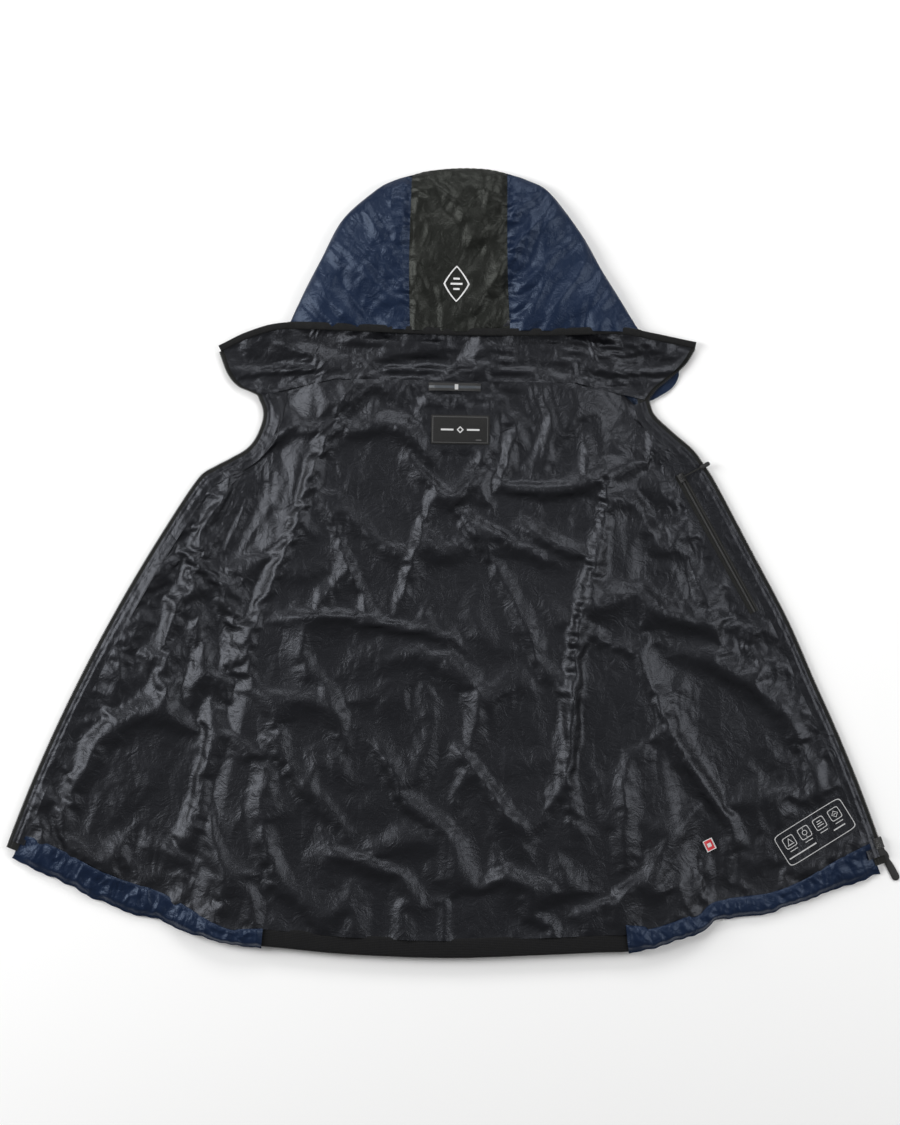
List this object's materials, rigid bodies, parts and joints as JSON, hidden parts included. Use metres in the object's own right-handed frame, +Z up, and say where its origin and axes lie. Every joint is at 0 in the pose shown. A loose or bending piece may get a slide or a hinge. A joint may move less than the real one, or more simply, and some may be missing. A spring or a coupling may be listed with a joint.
{
  "type": "foul weather jacket",
  "caption": "Hooded padded foul weather jacket lying open on its back, with fronts that fold in, a hood that lifts, and zip sliders that run",
  "frame": {"origin": "on the floor under the middle of the open jacket", "axes": "+Z up out of the lining, +Y from the hem to the hood, +X to the wearer's left"},
  "size_m": [1.1211, 1.001, 0.0304],
  "materials": {
    "lining": "gloss",
    "navy_shell": "satin",
    "black_shell": "satin",
    "wadding": "matte",
    "stretch_binding": "matte",
    "zip_tape": "matte",
    "zip_teeth": "satin",
    "slider": "satin",
    "pull_rubber": "matte",
    "pull_cord": "matte",
    "loop": "satin",
    "label": "satin",
    "white_print": "matte",
    "panel_print": "satin",
    "side_label": "satin"
  },
  "bodies": {
    "root": {"back_shell": "navy_shell", "back_wadding": "wadding", "back_lining": "lining", "side_hems": "navy_shell", "back_hem_band": "stretch_binding", "back_collar_shell": "navy_shell", "back_collar_lining": "lining", "neck_label": "label", "hanger_loop": "loop", "left_sleeve_top": "navy_shell", "right_sleeve_top": "navy_shell", "left_sleeve_under": "navy_shell", "right_sleeve_under": "navy_shell", "left_cuff": "stretch_binding", "right_cuff": "stretch_binding"},
    "hood": {"hood_centre_panel": "black_shell", "left_hood_panel": "navy_shell", "right_hood_panel": "navy_shell", "hood_lining": "lining", "hood_mark": "white_print", "hood_brim_binding": "stretch_binding"},
    "left_front": {"left_front_shell": "navy_shell", "left_hand_pocket_zip": "zip_tape", "left_front_wadding": "wadding", "left_front_lining": "lining", "left_zip_facing": "zip_tape", "left_side_shell": "navy_shell", "left_side_lining": "lining", "left_hem_turnup": "navy_shell", "left_collar_shell": "navy_shell", "left_collar_lining": "lining", "left_collar_binding": "stretch_binding", "left_zip_teeth": "zip_teeth", "left_zip_tape": "zip_tape", "zip_retainer_box": "zip_teeth", "inner_pocket_bag": "lining", "inner_pocket_zip": "zip_tape", "care_panel": "panel_print", "side_label": "side_label"},
    "right_front": {"right_front_shell": "navy_shell", "right_hand_pocket_zip": "zip_tape", "right_front_wadding": "wadding", "right_front_lining": "lining", "right_zip_facing": "zip_tape", "right_side_shell": "navy_shell", "right_side_lining": "lining", "right_hem_turnup": "navy_shell", "right_collar_shell": "navy_shell", "right_collar_lining": "lining", "right_collar_binding": "stretch_binding", "right_zip_teeth": "zip_teeth", "right_zip_tape": "zip_tape", "zip_insertion_pin": "zip_teeth"},
    "main_slider": {"main_slider": "slider"},
    "main_pull": {"main_pull": "pull_rubber"},
    "pocket_slider": {"pocket_slider": "slider"},
    "pocket_pull": {"pocket_pull_cord": "pull_cord", "pocket_pull_end": "pull_rubber"}
  },
  "joints": [
    {"name": "left_front_fold", "type": "hinge", "parent": "root", "child": "left_front", "pos_m": [0.22282, -0.125, 0.0237], "axis": [0.1949, -0.9808, 0], "range_deg": [0, 180]},
    {"name": "right_front_fold", "type": "hinge", "parent": "root", "child": "right_front", "pos_m": [-0.22282, -0.125, 0.0237], "axis": [0.1949, 0.9808, 0], "range_deg": [0, 180]},
    {"name": "hood_lift", "type": "hinge", "parent": "root", "child": "hood", "pos_m": [0, 0.2905, 0.032], "axis": [1, 0, 0], "range_deg": [0, 100]},
    {"name": "main_slider_run", "type": "hinge", "parent": "left_front", "child": "main_slider", "pos_m": [-1.4829, -1.09864, 0.0062], "axis": [0, 0, 1], "range_deg": [0, 13.22]},
    {"name": "main_pull_flip", "type": "hinge", "parent": "main_slider", "child": "main_pull", "pos_m": [0.54898, -0.35076, 0.00162], "axis": [0.9384, 0.3454, 0], "range_deg": [0, 170]},
    {"name": "pocket_slider_run", "type": "slide", "parent": "left_front", "child": "pocket_slider", "axis": [0.4962, -0.8682, 0], "range_m": [0, 0.175]},
    {"name": "pocket_pull_swing", "type": "hinge", "parent": "pocket_slider", "child": "pocket_pull", "pos_m": [0.28975, 0.10927, 0.01325], "axis": [0, 0, 1], "range_deg": [-85, 75]}
  ]
}
